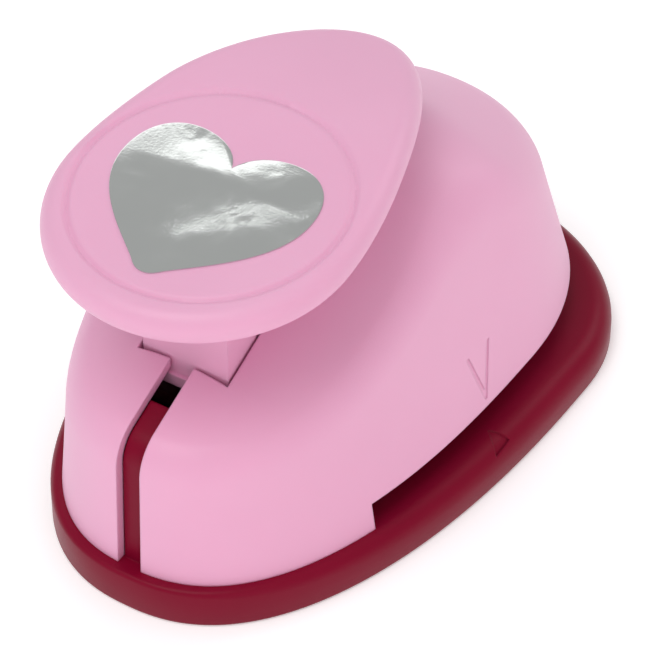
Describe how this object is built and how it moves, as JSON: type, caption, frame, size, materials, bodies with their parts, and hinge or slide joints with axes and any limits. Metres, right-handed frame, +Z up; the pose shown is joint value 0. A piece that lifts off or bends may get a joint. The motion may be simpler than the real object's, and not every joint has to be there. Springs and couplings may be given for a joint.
{
  "type": "craft punch",
  "caption": "Lever-operated paper craft punch with a heart-shaped die, an egg-shaped base and shell, and a broad press pad at the front.",
  "frame": {"origin": "middle of the base, on the plane it stands on", "axes": "+Z up, +Y towards the rear where the lever is narrow, press pad towards -Y"},
  "size_m": [0.0812, 0.1246, 0.074],
  "materials": {
    "pink_plastic": "fine matte texture moulded in",
    "burgundy_plastic": "satin, moulded",
    "mirror_foil": "bright metallised film",
    "tool_steel": "ground",
    "zinc_casting": "as cast",
    "spring_steel": "bright drawn wire"
  },
  "bodies": {
    "root": {"base": "burgundy_plastic", "shell": "pink_plastic", "die_plate": "tool_steel", "throat_spacer": "tool_steel", "guide_block": "zinc_casting", "pivot_frame": "zinc_casting", "lever_axle": "tool_steel", "axle_clip": "spring_steel", "guide_post_left": "tool_steel", "return_spring_left": "spring_steel", "guide_post_right": "tool_steel", "return_spring_right": "spring_steel", "shell_screw_1": "zinc_casting", "die_screw_1": "zinc_casting", "shell_screw_2": "zinc_casting", "die_screw_2": "zinc_casting", "shell_screw_3": "zinc_casting", "die_screw_3": "zinc_casting", "shell_screw_4": "zinc_casting", "die_screw_4": "zinc_casting", "frame_screw_1": "zinc_casting", "frame_screw_2": "zinc_casting"},
    "lever": {"lever": "pink_plastic", "foil_heart": "mirror_foil"},
    "punch": {"punch": "tool_steel", "punch_carrier": "zinc_casting"}
  },
  "joints": [
    {"name": "lever_press", "type": "hinge", "parent": "root", "child": "lever", "pos_m": [0, 0.014, 0.048], "axis": [1, 0, 0], "range_deg": [0, 12.3], "stiffness_Nm_per_rad": 0.4, "springref_deg": -11.46},
    {"name": "punch_slide", "type": "slide", "parent": "root", "child": "punch", "axis": [0, 0, -1], "range_m": [0, 0.0031], "stiffness_N_per_m": 150, "springref_m": -0.02, "deforming": ["return_spring_left", "return_spring_right"]}
  ],
  "couplings": [
    {"joint": "punch_slide", "follows": "lever_press", "m_per_rad": 0.014}
  ]
}
